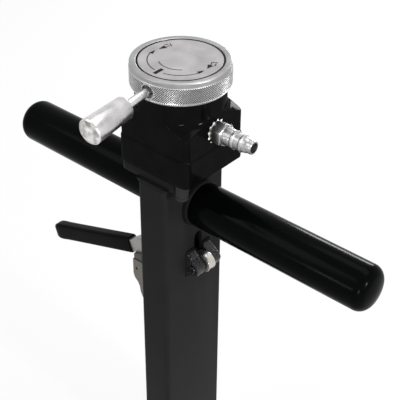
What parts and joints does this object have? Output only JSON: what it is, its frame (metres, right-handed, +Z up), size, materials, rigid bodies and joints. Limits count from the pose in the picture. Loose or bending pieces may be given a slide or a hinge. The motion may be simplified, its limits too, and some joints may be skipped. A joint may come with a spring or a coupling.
{
  "type": "floor jack control handle",
  "caption": "Control handle head of an air-hydraulic floor jack: column with cast head, turning control knob, air inlet, T-bar with grips and hand lever that lifts a latch rod",
  "frame": {"origin": "middle of the column's foot, where the handle socket of the jack holds it", "axes": "+Z up the column, +X along the T-bar to the side of the air inlet, +Y away from the tommy handle"},
  "size_m": [0.3774, 0.1435, 0.422],
  "materials": {
    "column_paint": "satin black paint on rolled steel",
    "head_casting": "semi-gloss black paint on a casting",
    "collar_paint": "satin black paint",
    "plated_steel": "bright zinc plating",
    "bare_steel": "plain turned steel",
    "knob_aluminium": "turned and knurled aluminium",
    "grip_aluminium": "turned aluminium",
    "dial_aluminium": "matt anodised plate",
    "bronze": "plain turned bronze",
    "grip_plastic": "glossy black moulding",
    "rubber": "black rubber",
    "nylon": "natural nylon"
  },
  "bodies": {
    "handle": {"column_tube": "column_paint", "top_plate": "column_paint", "head_screw_1": "plated_steel", "head_screw_2": "plated_steel", "head_screw_3": "plated_steel", "head_screw_4": "plated_steel", "head_housing": "head_casting", "exhaust_silencer": "collar_paint", "spindle_bush": "bronze", "dust_seal": "rubber", "air_inlet": "plated_steel", "inlet_washer": "plated_steel", "outlet_union": "bronze", "air_hose": "rubber", "hose_fitting": "bronze", "crossbar_tube": "bare_steel", "grip_left": "grip_plastic", "grip_right": "grip_plastic", "grip_collar_left": "collar_paint", "grip_collar_right": "collar_paint", "pivot_ear_front": "column_paint", "pivot_ear_rear": "column_paint", "pivot_pin": "bare_steel", "lever_bracket": "plated_steel", "bracket_screw_1": "plated_steel", "bracket_screw_2": "plated_steel", "stop_pad": "rubber", "rod_guide": "nylon", "foot_guide": "nylon", "foot_guide_screw": "plated_steel"},
    "knob": {"knob_ring": "knob_aluminium", "dial_plate": "dial_aluminium", "knob_screw": "plated_steel", "tommy_rod": "plated_steel", "tommy_grip": "grip_aluminium", "spindle": "bare_steel", "cam_pin": "bare_steel", "centring_spring": "bare_steel"},
    "cam_carriage": {"cam_sleeve": "bare_steel", "control_rod": "bare_steel", "control_rod_nut": "plated_steel", "valve_spool": "bare_steel"},
    "lever": {"lever_channel": "plated_steel", "lever_grip": "grip_plastic"},
    "latch": {"latch_rod": "bare_steel", "latch_pin": "bare_steel", "spring_collar": "bare_steel", "latch_spring": "bare_steel"}
  },
  "joints": [
    {"name": "knob_turn", "type": "hinge", "parent": "handle", "child": "knob", "pos_m": [0, 0, 0.412], "axis": [0, 0, 1], "range_deg": [-80, 80], "stiffness_Nm_per_rad": 0.8},
    {"name": "sleeve_slide", "type": "slide", "parent": "handle", "child": "cam_carriage", "axis": [0, 0, 1], "range_m": [-0.0061, 0.0061]},
    {"name": "lever_squeeze", "type": "hinge", "parent": "handle", "child": "lever", "pos_m": [0.022, 0.004, 0.2338], "axis": [0, 1, 0], "range_deg": [0, 15], "stiffness_Nm_per_rad": 2, "springref_deg": -11.46},
    {"name": "latch_slide", "type": "slide", "parent": "handle", "child": "latch", "axis": [0, 0, 1], "range_m": [0, 0.0063], "deforming": ["latch_spring"]}
  ],
  "couplings": [
    {"joint": "sleeve_slide", "follows": "knob_turn", "m_per_rad": -0.0043},
    {"joint": "latch_slide", "follows": "lever_squeeze", "m_per_rad": 0.0238}
  ]
}
